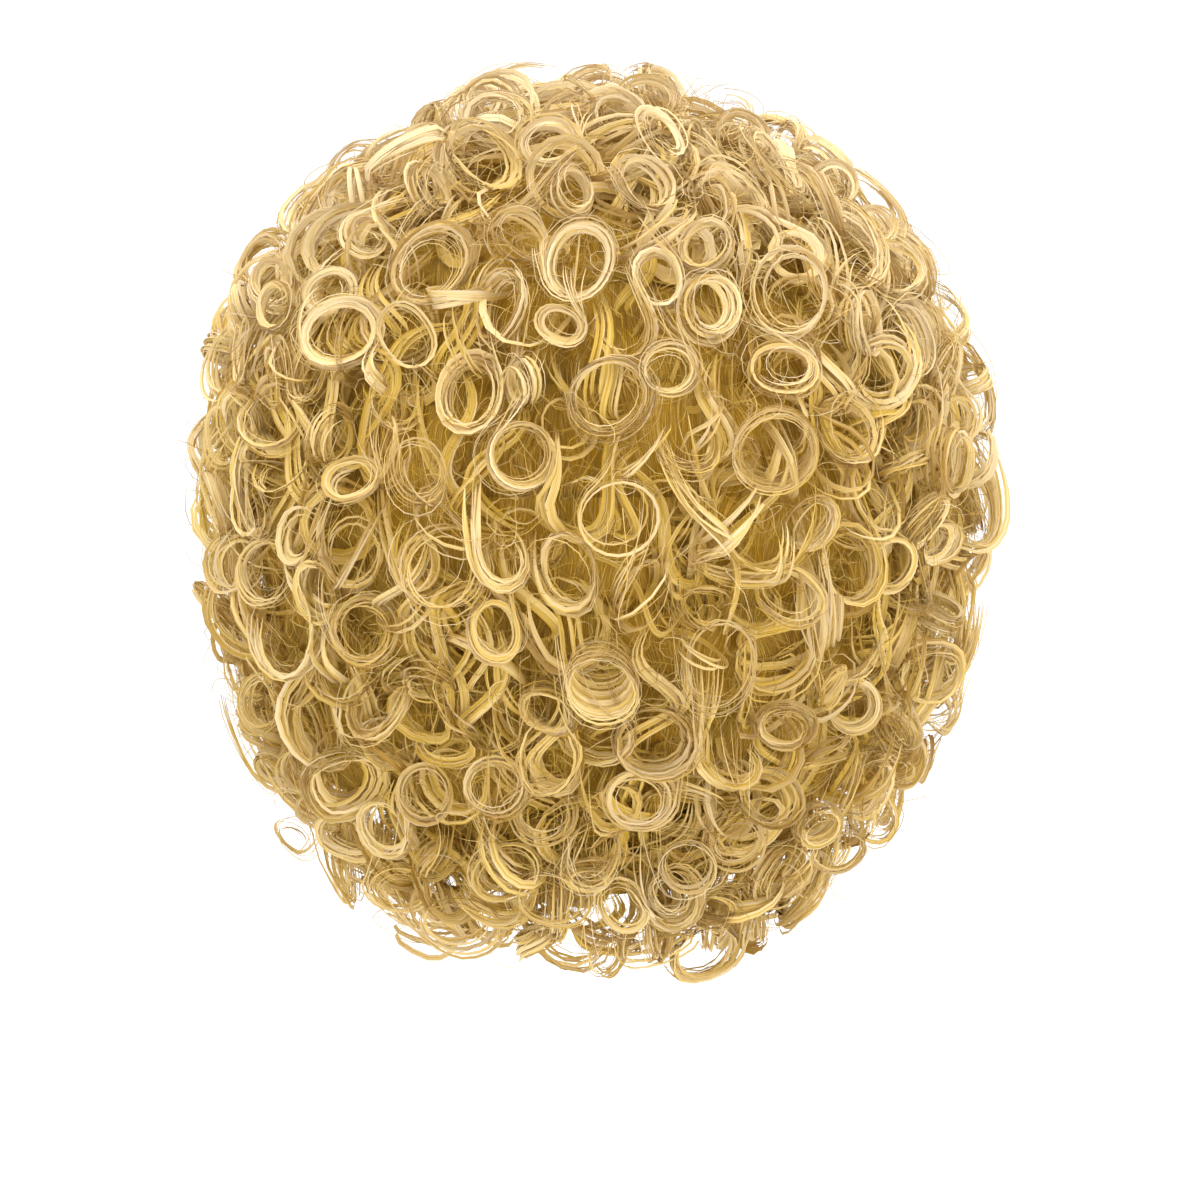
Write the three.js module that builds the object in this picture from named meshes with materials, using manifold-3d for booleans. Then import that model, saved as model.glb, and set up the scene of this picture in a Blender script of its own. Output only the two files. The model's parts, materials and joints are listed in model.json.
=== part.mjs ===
// Short curly wig: a hollow net cap, and rows of curled hair (wefts) sewn round it from the crown down to the nape.
// Millimetres and degrees. +Z is up, the face opening looks along -Y and the back of the head along +Y.
// The origin is where the crown of the head meets the inside of the cap.
import * as THREE from "three";
import { LoftGeometry } from "three/addons/geometries/LoftGeometry.js";
import { mergeVertices } from "three/addons/utils/BufferGeometryUtils.js";
import Module from "manifold-3d";

// Driving dimensions
const CAP_WALL = 1.6;
const SEW_GAP = 0.3; // left between the cap and a weft, and between two wefts
const CHORD_ROOM = 0.4; // keeps a weft's flat inner faces off the rounder cap
const HUB = new THREE.Vector3(0, 0, -85); // the sections fan out from here, in the middle of the head
const CURL_STAND = 14; // height of the curls over the hair that carries them
const CURL_RADIUS = { least: 10.6, most: 12.8 }; // from a coil's axis to the middle of its lock
const LOCK_RADIUS = 4.6; // of a lock at its root
const TIP_SHARE = 0.6; // of the root's radius that is left at a lock's tip
const COIL_TURNS = 1.15;
const COIL_PITCH = 7;
const COIL_LEAN = 18; // the most that a coil leans along its row
const SEAM_ROOM = 0.6; // kept between a coil and the seams above and below it
const STEM = { share: 0.12, foot: -7, head: 3.4 }; // the start of a lock, which rises out of the hair below
const STEM_SWING = 60; // the most degrees that a lock starts away from the top of its coil

// Fineness of the facets
const TURN_STEP = 15; // between two sections round the head
const CAP_RINGS = 8; // from the crown to the rim
const STEPS_PER_COIL = 7;
const LOCK_SIDES = 3;
const RANDOM_SEED = 7;

// Reach from the hub by angle of fall from the crown, to the side, the back and the front of the head.
// HEAD is the inside of the cap, and below its rim the ears, jaw and neck that the hair hangs clear of.
const HEAD = [
  { fall: 0, side: 85, back: 85, front: 85 },
  { fall: 30, side: 83, back: 89, front: 89 },
  { fall: 60, side: 78, back: 94, front: 94 },
  { fall: 90, side: 75, back: 96, front: 94 },
  { fall: 115, side: 79, back: 99, front: 94 },
  { fall: 135, side: 88, back: 102, front: 96 },
  { fall: 150, side: 110, back: 113, front: 110 },
  { fall: 162, side: 140, back: 140, front: 140 },
];
// HAIR is the outside of the wig, over the tips of its curls.
const HAIR = [
  { fall: 0, side: 133, back: 133, front: 133 },
  { fall: 30, side: 131, back: 136, front: 132 },
  { fall: 60, side: 132, back: 141, front: 134 },
  { fall: 90, side: 130, back: 145, front: 134 },
  { fall: 110, side: 132, back: 147, front: 134 },
  { fall: 125, side: 140, back: 150, front: 138 },
  { fall: 140, side: 153, back: 156, front: 146 },
  { fall: 158, side: 164, back: 170, front: 150 },
];
// How far the cap comes down, by turn from the back of the head to the forehead.
const CAP_RIM = [
  { turn: 0, fall: 149 },
  { turn: 40, fall: 141 },
  { turn: 70, fall: 125 },
  { turn: 110, fall: 118 },
  { turn: 135, fall: 94 },
  { turn: 160, fall: 76 },
  { turn: 180, fall: 72 },
];
// The wefts from the crown down. Each ends in a seam that leaves the cap at the fall where it is sewn and comes
// out lower, where its hair hangs, over span degrees to either side of the back. It starts at the seam before it.
const WEFTS = [
  { name: "crown_swirl", sewn: 19, hangs: 22, span: 180, curls: 5 },
  { name: "weft_crown", sewn: 35, hangs: 40, span: 180, curls: 13 },
  { name: "weft_top", sewn: 50, hangs: 57, span: 180, curls: 19 },
  { name: "weft_temple", sewn: 64, hangs: 74, span: 180, curls: 23 },
  { name: "weft_fringe", sewn: 79, hangs: 91, span: 180, curls: 25 },
  { name: "weft_ear", sewn: 94, hangs: 108, span: 135, curls: 17 },
  { name: "weft_cheek", sewn: 109, hangs: 125, span: 120, curls: 14 },
  { name: "weft_neck", sewn: 124, hangs: 142, span: 105, curls: 10 },
  { name: "weft_nape", sewn: 150, hangs: 158, span: 75, curls: 5 },
];
const CROWN_START = { sewn: 1, hangs: 1 };
// The one lock that hangs below the nape.
const TAIL = { weft: "weft_nape", turn: -8, fall: 152, length: 34, radius: 6, turns: 1.5, swing: 0.12 };

const HAIR_BLOND = { color: 0xc9a55f, roughness: 0.45, metalness: 0 };
const NET_BEIGE = { color: 0xcbb089, roughness: 0.85, metalness: 0 };

const wasm = await Module();
wasm.setup();
const { degToRad, radToDeg, lerp, seededRandom } = THREE.MathUtils;
seededRandom(RANDOM_SEED);
const either = (most) => (seededRandom() * 2 - 1) * most;

// A smooth curve through one column of a table, read at a value of its key column.
function column(table, key, name) {
  const places = table.map((row) => row[key]);
  const curve = new THREE.CubicInterpolant(places, table.map((row) => row[name]), 1);
  const last = places[places.length - 1];
  return (at) => curve.evaluate(Math.min(Math.max(at, places[0]), last))[0];
}

// Reach of a table of sections in any direction: its back or front column, eased into its side column.
function reachOf(table) {
  const side = column(table, "fall", "side");
  const back = column(table, "fall", "back");
  const front = column(table, "fall", "front");
  return (fall, turn) => {
    const facing = Math.cos(degToRad(turn));
    const end = facing > 0 ? back(fall) : front(fall);
    return side(fall) + (end - side(fall)) * facing * facing;
  };
}
const headReach = reachOf(HEAD);
const hairReach = reachOf(HAIR);
const rimFall = column(CAP_RIM, "turn", "fall");

// The direction from the hub at a fall from the crown and a turn from the back of the head.
function direction(fall, turn) {
  const f = degToRad(fall);
  const t = degToRad(turn);
  return new THREE.Vector3(Math.sin(f) * Math.sin(t), Math.sin(f) * Math.cos(t), Math.cos(f));
}

function place(fall, turn, reach) {
  return direction(fall, turn).multiplyScalar(reach).add(HUB);
}

// A closed geometry as a solid, with the faces dropped that meet at a pole, and the solid as a geometry again.
function solidOf(geometry) {
  const bare = new THREE.BufferGeometry().setIndex(geometry.index);
  bare.setAttribute("position", geometry.getAttribute("position"));
  const merged = mergeVertices(bare, 1e-3);
  const corners = merged.index.array;
  const kept = [];
  for (let i = 0; i < corners.length; i += 3) {
    const [a, b, c] = corners.subarray(i, i + 3);
    if (a !== b && b !== c && c !== a) kept.push(a, b, c);
  }
  const vertProperties = merged.getAttribute("position").array;
  return new wasm.Manifold(new wasm.Mesh({ numProp: 3, vertProperties, triVerts: new Uint32Array(kept) }));
}

function geometryOf(solid) {
  const { vertProperties, triVerts } = solid.getMesh();
  const geometry = new THREE.BufferGeometry();
  geometry.setAttribute("position", new THREE.BufferAttribute(vertProperties, 3));
  geometry.setIndex(new THREE.BufferAttribute(triVerts, 1));
  geometry.computeVertexNormals();
  return geometry;
}

// The turns of the sections from one end of a span to the other.
function turnsAcross(span) {
  const count = (2 * span) / TURN_STEP;
  return Array.from({ length: count + 1 }, (_, i) => -span + i * TURN_STEP);
}

// The cap: rings from the crown down the outside, round the rim and up the inside.
function capSolid() {
  const turns = turnsAcross(180).slice(1);
  const ring = (share, out) =>
    turns.map((turn) => {
      const fall = share * rimFall(Math.abs(turn));
      return place(fall, turn, headReach(fall, turn) + out);
    });
  const shares = Array.from({ length: CAP_RINGS + 1 }, (_, i) => i / CAP_RINGS);
  const outside = shares.map((share) => ring(share, CAP_WALL));
  const inside = shares.map((share) => ring(share, 0)).reverse();
  return solidOf(new LoftGeometry([...outside, ...inside]));
}

// Reach of the hair that carries the curls, inside against the cap and outside at their feet.
const bedInside = (fall, turn) => headReach(fall, turn) + CAP_WALL + SEW_GAP + CHORD_ROOM;
const bedOutside = (fall, turn) => hairReach(fall, turn) - CURL_STAND;

// The peak that a seam's lines fan down from: in line with the seam's inner and outer edge at the back of the head.
function seamPeak({ sewn, hangs }) {
  const inner = place(sewn, 0, bedInside(sewn, 0));
  const outer = place(hangs, 0, bedOutside(hangs, 0));
  const share = inner.y / (outer.y - inner.y);
  return new THREE.Vector3(0, 0, inner.z - share * (outer.z - inner.z));
}

// Where a seam leaves the cap, kept half a gap clear of the weft above it (side 1) or below it (side -1).
function seamInside({ sewn }, turn, side) {
  const reach = bedInside(sewn, turn);
  return place(sewn + side * radToDeg(SEW_GAP / 2 / reach), turn, reach);
}

// Where the line from a seam's peak past the cap comes out under the curls.
function seamOutside(seam, turn, side) {
  const peak = seamPeak(seam);
  const inside = seamInside(seam, turn, side);
  const along = (share) => peak.clone().lerp(inside, share);
  let near = 1;
  let far = 9;
  for (let i = 0; i < 40; i++) {
    const share = (near + far) / 2;
    const arm = along(share).sub(HUB);
    const reach = arm.length();
    if (reach < bedOutside(radToDeg(Math.acos(arm.z / reach)), turn)) near = share;
    else far = share;
  }
  return along(near);
}

// The section of a weft at one turn: down along the cap, out along its own seam, up under its curls, and back in
// along the seam of the weft above.
function weftSection(above, weft, turn) {
  const middle = (above.sewn + weft.sewn) / 2;
  return [
    seamInside(above, turn, 1),
    place(middle, turn, bedInside(middle, turn)),
    seamInside(weft, turn, -1),
    seamOutside(weft, turn, -1),
    seamOutside(above, turn, 1),
  ];
}

// Draws the points of a section together into one.
function gather(section) {
  const middle = new THREE.Vector3();
  section.forEach((point) => middle.addScaledVector(point, 1 / section.length));
  section.forEach((point) => point.copy(middle));
}

// The hair that carries a weft's curls: a whole ring, or an arch that tapers to a point at each side of the face.
function weftBed(above, weft) {
  const turns = turnsAcross(weft.span);
  const sections = turns.map((turn) => weftSection(above, weft, turn));
  if (weft.span < 180) {
    gather(sections[0]);
    gather(sections[sections.length - 1]);
  }
  return solidOf(new LoftGeometry(sections));
}

// The hair on top of the head, inside the first ring of wefts.
function crownBed(crown) {
  const turns = turnsAcross(180).slice(1);
  const sections = turns.map((turn) => weftSection(CROWN_START, crown, turn));
  const rings = sections[0].map((_, corner) => sections.map((points) => points[corner]));
  gather(rings[0]);
  gather(rings[rings.length - 1]);
  return solidOf(new LoftGeometry(rings.reverse()));
}

// A tapering lock along a coil, as sections that stay square to it.
function lockSolid(curve) {
  const steps = Math.round(STEPS_PER_COIL * Math.abs(curve.turns));
  const frames = curve.computeFrenetFrames(steps, false);
  const sections = Array.from({ length: steps + 1 }, (_, i) => {
    const middle = curve.getPointAt(i / steps);
    const radius = LOCK_RADIUS * (1 - (1 - TIP_SHARE) * (i / steps));
    return Array.from({ length: LOCK_SIDES }, (_, side) => {
      const angle = (2 * Math.PI * side) / LOCK_SIDES;
      return middle
        .clone()
        .addScaledVector(frames.normals[i], radius * Math.cos(angle))
        .addScaledVector(frames.binormals[i], radius * Math.sin(angle));
    });
  });
  return solidOf(new LoftGeometry(sections, { capStart: true, capEnd: true }));
}

// A curl's centre line: a coil that winds up out of its foot along an axis.
class CoilCurve extends THREE.Curve {
  constructor({ foot, axis, radius, start, turns, pitch }) {
    super();
    const across = new THREE.Vector3(0, 0, 1).cross(axis).normalize();
    const along = new THREE.Vector3().crossVectors(axis, across);
    Object.assign(this, { foot, axis, across, along, radius, start, turns, pitch });
  }

  getPoint(t, target = new THREE.Vector3()) {
    const angle = this.start + 2 * Math.PI * this.turns * t;
    const stem = lerp(STEM.foot, STEM.head, Math.min(t / STEM.share, 1));
    return target
      .copy(this.foot)
      .addScaledVector(this.axis, stem + this.pitch * Math.abs(this.turns) * t)
      .addScaledVector(this.across, this.radius * Math.cos(angle))
      .addScaledVector(this.along, this.radius * Math.sin(angle));
  }
}

// One curl standing on a weft at a turn, leaning as far as the weft has room and wound to either hand.
function curlSolid(above, weft, turn) {
  const upper = seamOutside(above, turn, 1);
  const lower = seamOutside(weft, turn, -1);
  const half = upper.distanceTo(lower) / 2 - LOCK_RADIUS - SEAM_ROOM;
  const radius = Math.min(half, CURL_RADIUS.least + seededRandom() * (CURL_RADIUS.most - CURL_RADIUS.least));
  const foot = upper.lerp(lower, 0.5 + either((half - radius) / upper.distanceTo(lower)));
  const axis = foot.clone().sub(HUB).normalize();
  axis.applyAxisAngle(direction(0, 0), degToRad(either(COIL_LEAN)));
  const turns = seededRandom() < 0.5 ? -COIL_TURNS : COIL_TURNS;
  const start = degToRad(90 + either(STEM_SWING));
  return lockSolid(new CoilCurve({ foot, axis, radius, start, turns, pitch: COIL_PITCH }));
}

// The turns of a weft's curls, evenly along it, with those of the next weft set between them.
function curlTurns({ span, curls }, index) {
  const end = span < 180 ? span - TURN_STEP : 180;
  const first = span < 180 ? 0.5 : index / 2;
  return Array.from({ length: curls }, (_, i) => ((i + first) * 2 * end) / curls - end);
}

// The lock that hangs lowest: a drawn-out coil, down from the nape.
function tailSolid() {
  const foot = place(TAIL.fall, TAIL.turn, hairReach(TAIL.fall, TAIL.turn) - 2 * CURL_STAND);
  const axis = new THREE.Vector3(0, TAIL.swing, -1).normalize();
  const pitch = TAIL.length / TAIL.turns;
  return lockSolid(new CoilCurve({ foot, axis, radius: TAIL.radius, start: 0, turns: TAIL.turns, pitch }));
}

const wig = new THREE.Group();
function addNode(name, solid, finish) {
  const mesh = new THREE.Mesh(geometryOf(solid), new THREE.MeshStandardMaterial(finish));
  mesh.name = name;
  wig.add(mesh);
}

addNode("cap", capSolid(), NET_BEIGE);

WEFTS.forEach((weft, index) => {
  const above = index > 0 ? WEFTS[index - 1] : CROWN_START;
  const curls = curlTurns(weft, index).map((turn) => curlSolid(above, weft, turn));
  const bed = index > 0 ? weftBed(above, weft) : crownBed(weft);
  const locks = weft.name === TAIL.weft ? [...curls, tailSolid()] : curls;
  addNode(weft.name, locks.reduce((all, lock) => all.add(lock), bed), HAIR_BLOND);
});

export default wig;
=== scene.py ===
"""A short curly blond wig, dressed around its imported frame.

Every weft is a bed of hair with curled locks of fine strands on it, and the cap is a net with a bound edge.
Lengths are in millimetres and angles in degrees, in the part's own frame, until a mesh is made of them.
"""

import json
import math
from collections import namedtuple

import bpy
import numpy as np
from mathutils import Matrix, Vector

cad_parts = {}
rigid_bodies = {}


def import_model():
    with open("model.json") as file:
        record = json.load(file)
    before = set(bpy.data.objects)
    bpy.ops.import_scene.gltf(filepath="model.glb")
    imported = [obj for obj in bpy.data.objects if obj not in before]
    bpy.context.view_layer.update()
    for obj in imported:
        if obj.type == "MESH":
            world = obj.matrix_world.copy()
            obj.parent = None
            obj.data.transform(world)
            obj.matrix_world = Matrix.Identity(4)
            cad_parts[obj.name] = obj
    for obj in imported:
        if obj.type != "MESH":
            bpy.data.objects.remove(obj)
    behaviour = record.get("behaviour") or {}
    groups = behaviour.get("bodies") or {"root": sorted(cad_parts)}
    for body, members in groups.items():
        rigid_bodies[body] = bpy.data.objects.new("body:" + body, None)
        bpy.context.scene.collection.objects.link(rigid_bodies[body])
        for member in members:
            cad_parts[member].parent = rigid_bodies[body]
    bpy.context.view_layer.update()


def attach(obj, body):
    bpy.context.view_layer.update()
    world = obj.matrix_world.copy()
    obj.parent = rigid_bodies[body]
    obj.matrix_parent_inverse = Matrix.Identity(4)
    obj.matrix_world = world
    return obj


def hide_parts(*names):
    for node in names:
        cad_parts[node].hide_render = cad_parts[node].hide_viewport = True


SEED = 41
MM = 0.001
TINY = 1e-9
NUDGE = 1e-6

# Shape of the wig's inside and of its outside, by angle of fall from the crown: the reach from the hub to
# the side, the back and the front. The turn round the hub is 0 at the back and 180 at the front.
HUB = np.array([0.0, 0.0, -85.0])
Section = namedtuple("Section", "fall side back front")
INSIDE = (
    Section(0, 85, 85, 85),
    Section(30, 83, 89, 89),
    Section(60, 78, 94, 94),
    Section(90, 75, 96, 94),
    Section(115, 79, 99, 94),
    Section(135, 88, 102, 96),
    Section(150, 110, 113, 110),
    Section(162, 140, 140, 140),
)
OUTSIDE = (
    Section(0, 133, 133, 133),
    Section(30, 131, 136, 132),
    Section(60, 132, 141, 134),
    Section(90, 130, 145, 134),
    Section(110, 132, 147, 134),
    Section(125, 140, 150, 138),
    Section(140, 153, 156, 146),
    Section(158, 164, 170, 150),
)
Rim = namedtuple("Rim", "turn fall")
CAP_RIM = (Rim(0, 149), Rim(40, 141), Rim(70, 125), Rim(110, 118), Rim(135, 94), Rim(160, 76), Rim(180, 72))
CAP_WALL = 1.6
RIM_EASE = np.linspace(-12, 12, 9)

# The wefts from the crown down: the fall where each is sewn to the cap and where its hair hangs, and the
# turn to either side of the back that it covers.
Weft = namedtuple("Weft", "node sewn hangs span")
WEFTS = (
    Weft("crown_swirl", 19, 22, 180),
    Weft("weft_crown", 35, 40, 180),
    Weft("weft_top", 50, 57, 180),
    Weft("weft_temple", 64, 74, 180),
    Weft("weft_fringe", 79, 91, 180),
    Weft("weft_ear", 94, 108, 135),
    Weft("weft_cheek", 109, 125, 120),
    Weft("weft_neck", 124, 142, 105),
    Weft("weft_nape", 150, 158, 75),
)
HANGS = np.array([weft.hangs for weft in WEFTS])
SPANS = np.array([weft.span for weft in WEFTS])
WHOLE_SPAN = 180
CROWN_FALL = 0.5
DOWN_STEP = 2.0
TRIES_PER_PLACE = 3

# The photograph's frame, seen from straight behind and a little above.
FRAME_PIXELS = 1200
PIXEL = 0.335
CENTRE_COLUMN = 590
CROWN_ROW = 223
CAMERA_DISTANCE = 2400.0
CAMERA_RISE = 3.0
SENSOR = 36.0
CLIP_END = 100.0
SIGHT_BEFORE = 200.0
SIGHT_BEYOND = 60.0
SIGHT_STEPS = 1040
FLOOR_LEVEL = -400.0
FLOOR_SIZE = 80.0

# Curls charted from the photograph: the middle and the width in its pixels, the turns of the coil,
# how far its axis leans to the right and up from the line of sight, and how many bands it has.
Chart = namedtuple("Chart", "x y across turns right up bands")
CHARTED = (
    Chart(434, 262, 79, 2.6, 0.1, 0.1, 6),
    Chart(578, 262, 76, 2.6, 0.0, 0.2, 6),
    Chart(341, 332, 79, 2.2, -0.2, 0.1, 6),
    Chart(410, 336, 65, 1.4, 0.1, 0.0, 3),
    Chart(563, 322, 44, 1.6, 0.0, -0.2, 5),
    Chart(548, 141, 56, 1.8, 0.0, 0.4, 6),
    Chart(573, 192, 53, 2.0, 0.9, 0.3, 6),
    Chart(368, 237, 50, 1.7, -0.4, 0.3, 5),
    Chart(351, 172, 60, 1.3, -0.2, 0.3, 3),
    Chart(521, 455, 67, 2.4, 0.1, 0.0, 6),
    Chart(329, 290, 55, 1.6, -0.4, 0.2, 5),
    Chart(353, 475, 54, 1.8, -0.2, 0.2, 5),
    Chart(421, 475, 62, 1.5, 0.0, 0.0, 3),
    Chart(616, 398, 82, 2.4, 0.0, 0.1, 6),
    Chart(772, 446, 88, 4.4, 0.15, -0.3, 4),
    Chart(709, 310, 65, 1.9, 0.8, 0.1, 6),
    Chart(644, 183, 60, 1.8, 0.5, 0.3, 5),
    Chart(782, 290, 88, 1.9, 0.1, 0.1, 3),
    Chart(871, 223, 46, 1.7, 0.5, 0.3, 5),
    Chart(911, 341, 78, 1.8, 0.9, 0.0, 5),
    Chart(782, 374, 65, 1.7, 0.2, 0.3, 6),
    Chart(672, 369, 60, 1.8, 0.2, -0.1, 6),
    Chart(742, 139, 60, 1.7, 0.2, 0.5, 5),
    Chart(956, 422, 46, 1.5, 0.6, 0.1, 3),
    Chart(368, 627, 67, 1.9, 0.0, 0.2, 6),
    Chart(494, 631, 58, 1.7, 0.1, 0.2, 5),
    Chart(267, 568, 70, 1.7, -0.5, 0.0, 5),
    Chart(433, 562, 92, 1.4, 0.0, 0.1, 5),
    Chart(619, 512, 80, 1.4, 0.1, 0.0, 3),
    Chart(602, 672, 76, 5.0, 0.05, -0.9, 4),
    Chart(855, 708, 62, 2.1, 0.2, 0.0, 6),
    Chart(894, 562, 60, 1.8, 0.4, 0.0, 5),
    Chart(720, 666, 88, 1.4, 0.0, 0.1, 3),
    Chart(790, 599, 70, 1.5, 0.2, 0.5, 5),
    Chart(958, 635, 58, 1.5, 0.9, 0.0, 3),
    Chart(776, 795, 66, 2.2, 0.1, 0.5, 6),
    Chart(424, 795, 60, 2.1, -0.1, 0.1, 6),
    Chart(491, 785, 62, 1.7, 0.1, 0.3, 5),
    Chart(553, 895, 70, 1.7, 0.0, -0.3, 5),
    Chart(590, 856, 55, 1.6, 0.1, -0.1, 5),
    Chart(461, 920, 88, 1.5, -0.1, -0.8, 3),
    Chart(779, 878, 75, 1.5, 0.1, -0.7, 3),
    Chart(877, 814, 56, 1.4, 0.5, 0.0, 3),
    Chart(711, 909, 60, 1.5, 0.1, -1.2, 5),
    Chart(608, 951, 46, 1.4, 0.9, -0.2, 5),
    Chart(667, 892, 46, 1.5, 0.1, -0.4, 3),
    Chart(235, 560, 66, 1.5, -0.7, 0.0, 3),
    Chart(300, 770, 52, 1.6, -0.6, -0.2, 5),
    Chart(296, 838, 50, 1.5, -0.5, -0.9, 3),
    Chart(940, 708, 60, 1.5, 0.8, 0.0, 3),
    Chart(222, 440, 58, 1.5, -0.9, 0.1, 3),
    Chart(275, 285, 56, 1.5, -0.7, 0.2, 5),
    Chart(400, 888, 62, 1.3, -0.2, -0.6, 5),
    Chart(505, 872, 66, 1.4, 0.0, -0.3, 5),
    Chart(625, 905, 54, 1.3, 0.1, -0.5, 5),
    Chart(690, 862, 62, 1.5, 0.1, -0.3, 5),
    Chart(735, 838, 58, 1.4, 0.2, -0.4, 5),
    Chart(832, 846, 60, 1.4, 0.3, -0.5, 5),
    Chart(345, 838, 60, 1.4, -0.3, -0.6, 5),
    Chart(640, 800, 64, 1.6, 0.1, 0.1, 5),
    Chart(545, 815, 60, 1.5, -0.1, 0.0, 5),
    Chart(900, 760, 56, 1.5, 0.6, -0.1, 5),
    Chart(262, 700, 58, 1.5, -0.7, -0.1, 5),
    Chart(470, 108, 60, 1.4, -0.2, 0.7, 5),
    Chart(650, 98, 58, 1.4, 0.1, 0.8, 5),
    Chart(830, 185, 56, 1.5, 0.5, 0.5, 5),
)

# Locks are flat bands of hair, and single hairs go with them.
CHART_STEPS = 19
STEPS_PER_TURN = 14
HAIR_STEPS = 15
UNDER_STEPS = 13
ROOT_STEPS = 5
Profile = namedtuple("Profile", "angles ribs")
FLAT = Profile((0, 90, 180), (1, 0, 2))
ROUND = Profile((0, 120, 240), (0, 0, 0))
BAND_THICKNESS = 0.22
BAND_FOOT = 0.12
HAIR_FOOT = 1.0
HAIR_RADIUS = 0.14
HAIR_SIZES = (0.8, 1.4)
FOOT_END = 0.3
TIP_START = 0.6
TIP_CURVE = 1.6
TIP_SHARE = 0.18
STREAK_STARTS = 100

# How far strands may stand out of the hair, and the share that they keep of what is past it
SLACK = 4.5
SLACK_KEPT = 0.5

# Curls: those charted, those spread between them, shorter bends, and those on the ends of the wefts
CHART_DEPTH = 3.0
CHART_SHARE = 0.92
CHART_WIDTH = (0.6, 2.0)
CHART_HAIRS = 2
# Painted shade by layer: charted curls, on the outside, have the palest mean tone; the spread curls, under
# curls and waves further in have darker ones.
CHART_TONE = 0.66
CHART_RISE = 1.2
CHART_RISE_GAIN = 0.5
Spread = namedtuple("Spread", "tries highest depth room")
CURL_SPREAD = Spread(14000, 0.0, (0.5, 11.0), 8.6)
NAPE_SPREAD = Spread(1500, 143.0, (5.0, 22.0), 8.6)
CURL_RADIUS = (7.2, 14.0)
CURL_TURNS = (1.3, 2.6)
CURL_RISE = (1.4, 3.6)
CURL_BANDS = (6, 10)
CURL_HAIRS = 1
ARC_SHARE = 0.42
ARC_RADIUS = (9.5, 16.0)
ARC_TURNS = (0.5, 1.0)
ARC_BANDS = (6, 10)
CURL_LEAN = 0.5
CURL_LEVEL = (1.0, 1.0, 0.5)
CURL_TONE = 0.58
# Painted light: strands and loose hairs are made paler towards the crown, as if lit from above
CROWN_PAINTED_LIGHT = 0.42
CURL_TILT = 0.14
CURL_STRAY = 0.07
MESSY_TURNS = 1.6
MOST_SHRUNK_TURNS = 1.8
BAND_WIDTH = (0.6, 2.1)
WIDTH_BIAS = 1.5
LOWEST_FALL = 159.0
EDGE_TURN = 4.0
EDGE_CURLS = 8
EDGE_BACK = (0.0, 7.0)
EDGE_DEPTH = (10.0, 38.0)
EDGE_LEAN = 0.4
EDGE_BANDS = 4
EDGE_RISE = 2.0

# How the strands of a curl lie: their bundle, their turns, and their roots under the hair
BUNDLE_SHARE = 0.16
BUNDLE_LEAST = 0.7
BUNDLE_ACROSS = 0.6
BUNDLE_ALONG = 0.9
HAIRS_SPREAD = 2.0
TURNS_KEPT = (0.84, 1.08)
LEAST_STEPS = 8
START_ANGLE = (15, 115)
START_STRAY = 0.12
SHRINK = (0.08, 0.16)
SHRINK_CURVE = 1.3
MOST_OVAL = 0.16
DRIFT = 0.16
FLAT_ANGLE = (20, 62)
FLAT_STRAY = 0.3
ROOT_BACK = (12, 24)
ROOT_SUNK = (8, 15)
ROOT_ASIDE = (0.4, 0.9)
ROOT_ABOVE = 0.6
ROOT_STRAY = 0.9
ROOT_LIFT = 0.5
ROOT_DROP = 0.3
ROOT_PUSH = 0.45
CURL_TONE_STRAY = 0.07
BAND_TONE_STRAY = 0.08
HAIR_TONE_STRAY = 0.12

# Larger half-hidden curls under them
UNDER_SPREAD = Spread(6000, 0.0, (9.0, 15.0), 8.3)
UNDER_RADIUS = (9.0, 15.0)
UNDER_TURNS = (0.7, 1.4)
UNDER_WIDTH = (1.2, 3.8)
# painted shade: a little darker than the curls over them
UNDER_TONE = 0.56
UNDER_LEAN = 0.7
UNDER_BANDS = 3
UNDER_RISE = 2.0

# Waves between them, which follow the round of the hair and end in a hook
WAVES = 200
WAVE_STEPS = 16
WAVE_BANDS = 4
WAVE_WIDTH = (1.1, 2.6)
WAVE_LENGTH = (36, 58)
WAVE_BEND = (3, 6)
WAVE_PERIOD = (38, 60)
WAVE_DEPTH = (9, 15)
WAVE_LEAN = 0.45
WAVE_ARCH = 4
WAVE_ROUND = 140
WAVE_ASIDE = 1.8
WAVE_STRAY = 0.7
WAVE_FOOT = 0.7
WAVE_FAN = 0.6
WAVE_TILT = 0.4
# painted shade: darker than the curls, as the waves lie deeper
WAVE_TONE = (0.45, 0.13)
WAVE_TONE_STRAY = 0.1
HOOK_START = 0.6
HOOK_ASIDE = 1.6
HOOK_BACK = 0.28
HOOK_SUNK = 3

# Locks inside the bed, as far round as the widest of the last three wefts
INNER_SPAN = WEFTS[-3].span
INNER_LOCKS = 170
INNER_STEPS = 12
INNER_WIDTH = (2.0, 4.5)
INNER_OVERLAP = 4
INNER_END = (-3, 2)
INNER_SWAY = (1, 3)
INNER_RATE = (6, 12)
INNER_CLEAR = (1.4, 2.4)
INNER_TONE = (0.45, 0.12)

# Frizz on the bed, and loose hairs over the outline
Loose = namedtuple("Loose", "count steps radius depth length bend tone")
FRIZZ = Loose(4300, 7, 0.13, (5.0, 17.0), (16, 38), (1.5, 6.0), (0.0, 0.5))
FLYAWAYS = Loose(600, 9, 0.1, (-0.5, 6.0), (14, 30), (2.0, 6.5), (0.3, 0.8))
LOOSE_LIFT = (-0.1, 0.5)
LOOSE_LEAN = 0.7
LOOSE_SINK = 0.06
LOOSE_STRAY = 0.12
LOOSE_SIZES = (0.7, 1.3)

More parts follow.
